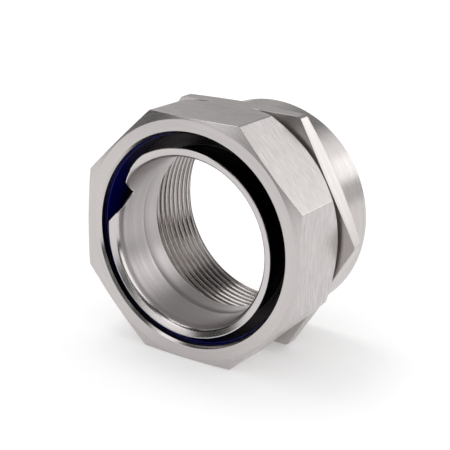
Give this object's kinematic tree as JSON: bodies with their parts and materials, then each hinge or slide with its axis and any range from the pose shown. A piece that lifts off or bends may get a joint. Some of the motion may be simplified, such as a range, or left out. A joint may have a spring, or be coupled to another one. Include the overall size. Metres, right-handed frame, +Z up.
{
  "type": "corrugated pipe coupling",
  "caption": "Steel coupling for a corrugated hose: octagonal compression nut with sealing ring and notched ferrule on a hexagonal body with a threaded pipe socket.",
  "frame": {"origin": "middle of the nut's lowest flat, the face that the coupling rests on", "axes": "the bore's axis runs along Y with the hose mouth at -Y and the pipe socket at +Y, Z up"},
  "size_m": [0.0784, 0.0473, 0.07],
  "materials": {
    "body_steel": "turned and brushed stainless steel",
    "nut_steel": "brushed stainless steel flats with a turned front ring",
    "ring_nylon": "glossy dark blue nylon",
    "ferrule_steel": "smooth rolled stainless steel"
  },
  "bodies": {
    "fitting": {"body": "body_steel", "ferrule": "ferrule_steel"},
    "seal": {"sealing_ring": "ring_nylon"},
    "nut": {"compression_nut": "nut_steel"}
  },
  "joints": [
    {"name": "nut_travel", "type": "slide", "parent": "fitting", "child": "seal", "axis": [0, -1, 0], "range_m": [0, 0.008]},
    {"name": "nut_turn", "type": "hinge", "parent": "seal", "child": "nut", "pos_m": [0, 0, 0.035], "axis": [0, -1, 0], "range_deg": [0, 1440]}
  ],
  "couplings": [
    {"joint": "nut_travel", "follows": "nut_turn", "m_per_rad": 0.00031831}
  ]
}
